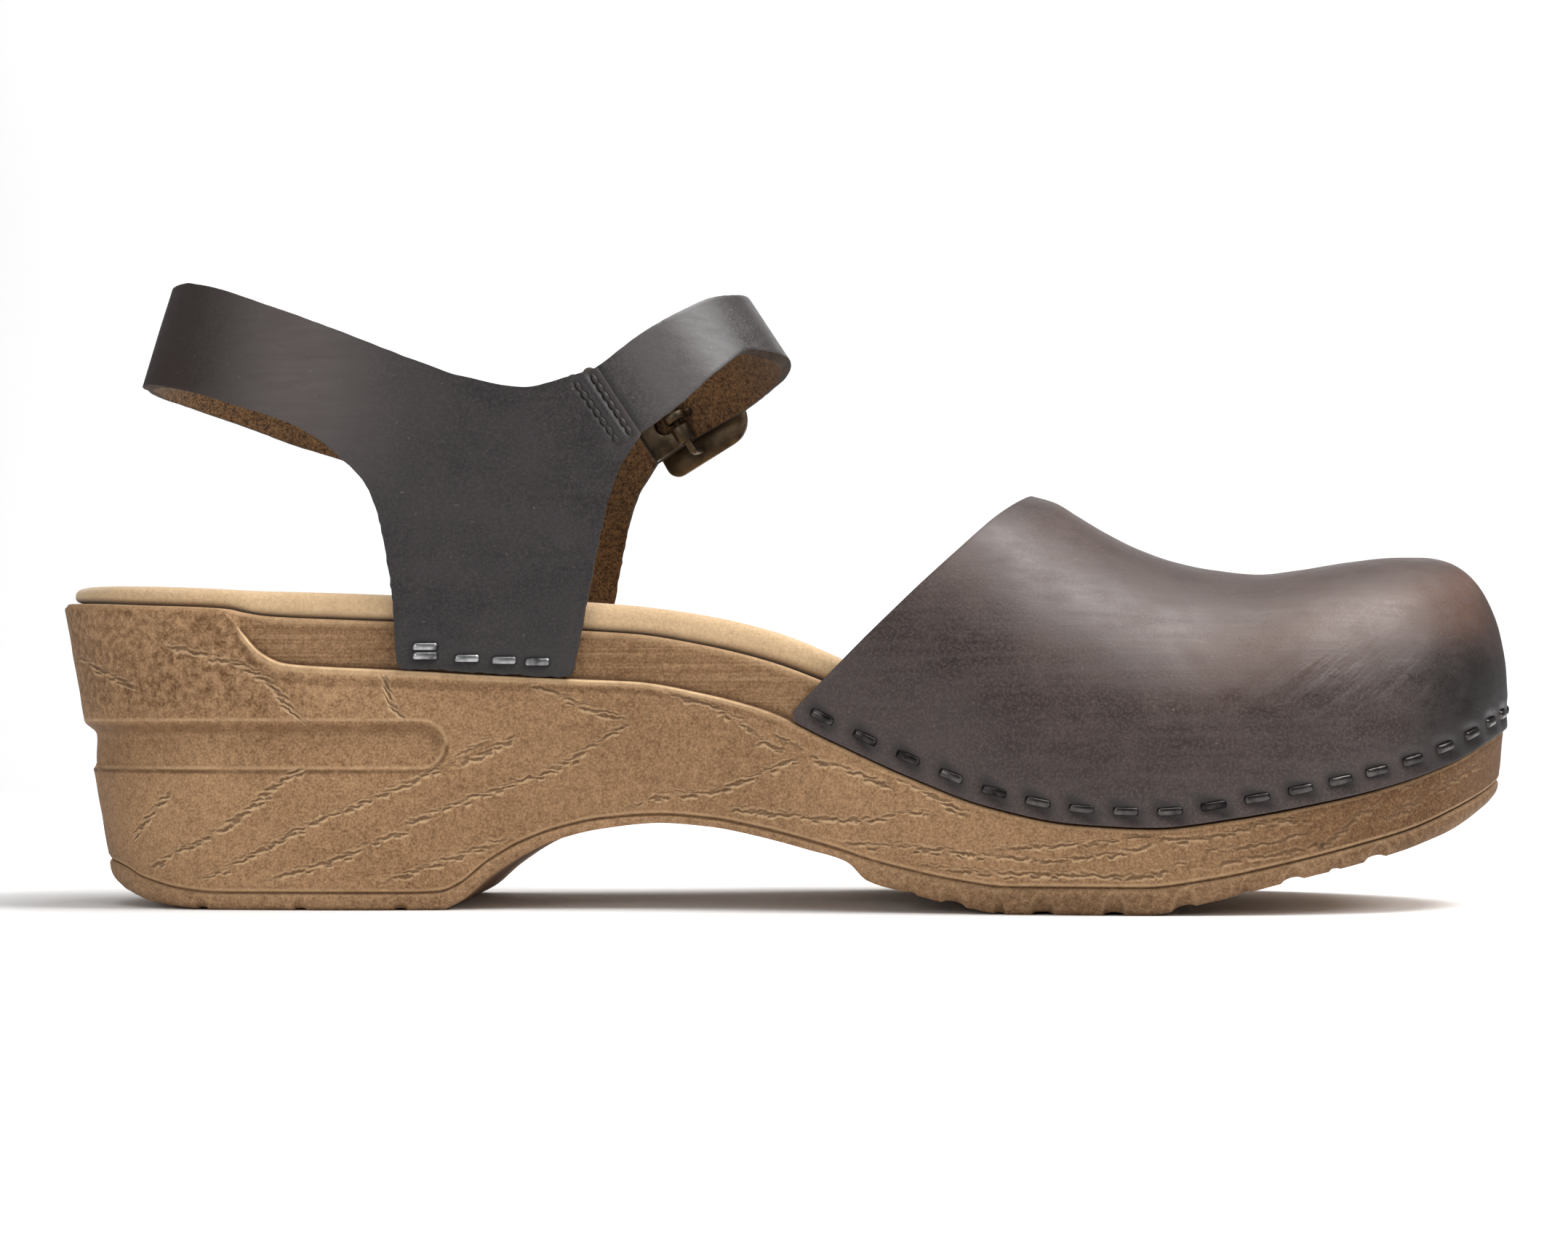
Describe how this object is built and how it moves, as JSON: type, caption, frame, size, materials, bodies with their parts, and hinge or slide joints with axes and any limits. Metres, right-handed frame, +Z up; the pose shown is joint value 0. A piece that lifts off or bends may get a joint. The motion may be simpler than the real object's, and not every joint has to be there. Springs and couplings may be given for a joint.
{
  "type": "ankle strap clog sandal",
  "caption": "Closed-toe clog sandal with a moulded wood-look sole, stapled leather vamp, T-shaped quarters, heel strap and a buckled ankle strap.",
  "frame": {"origin": "middle of the overall box in plan, on the floor that heel and forefoot stand on", "axes": "+X to the toe, +Y to the lateral side that has the buckle, +Z up"},
  "size_m": [0.2554, 0.0956, 0.1081],
  "materials": {
    "tread_brown": "matt tan-brown moulded tread",
    "sole_tan": "matt moulded polyurethane with a wood look",
    "footbed_suede": "light tan suede",
    "vamp_leather": "dark brown oiled leather with a soft sheen",
    "strap_leather": "matt charcoal brown leather",
    "antique_brass": "dark antique",
    "staple_steel": "dull, darkened"
  },
  "bodies": {
    "root": {"ankle_strap": "strap_leather", "buckle_frame": "antique_brass", "buckle_plate": "antique_brass", "buckle_prong": "antique_brass", "insole": "footbed_suede", "outsole": "tread_brown", "quarter_strap": "strap_leather", "sole_body": "sole_tan", "staple_quarter_01": "staple_steel", "staple_quarter_02": "staple_steel", "staple_quarter_03": "staple_steel", "staple_quarter_04": "staple_steel", "staple_quarter_05": "staple_steel", "staple_quarter_06": "staple_steel", "staple_quarter_07": "staple_steel", "staple_quarter_08": "staple_steel", "staple_quarter_09": "staple_steel", "staple_vamp_01": "staple_steel", "staple_vamp_02": "staple_steel", "staple_vamp_03": "staple_steel", "staple_vamp_04": "staple_steel", "staple_vamp_05": "staple_steel", "staple_vamp_06": "staple_steel", "staple_vamp_07": "staple_steel", "staple_vamp_08": "staple_steel", "staple_vamp_09": "staple_steel", "staple_vamp_10": "staple_steel", "staple_vamp_11": "staple_steel", "staple_vamp_12": "staple_steel", "staple_vamp_13": "staple_steel", "staple_vamp_14": "staple_steel", "staple_vamp_15": "staple_steel", "staple_vamp_16": "staple_steel", "staple_vamp_17": "staple_steel", "staple_vamp_18": "staple_steel", "staple_vamp_19": "staple_steel", "staple_vamp_20": "staple_steel", "staple_vamp_21": "staple_steel", "staple_vamp_22": "staple_steel", "staple_vamp_23": "staple_steel", "staple_vamp_24": "staple_steel", "staple_vamp_25": "staple_steel", "staple_vamp_26": "staple_steel", "staple_vamp_27": "staple_steel", "staple_vamp_28": "staple_steel", "staple_vamp_29": "staple_steel", "staple_vamp_30": "staple_steel", "staple_vamp_31": "staple_steel", "staple_vamp_32": "staple_steel", "staple_vamp_33": "staple_steel", "staple_vamp_34": "staple_steel", "staple_vamp_35": "staple_steel", "staple_vamp_36": "staple_steel", "staple_vamp_37": "staple_steel", "staple_vamp_38": "staple_steel", "staple_vamp_39": "staple_steel", "staple_vamp_40": "staple_steel", "vamp": "vamp_leather"}
  },
  "joints": []
}
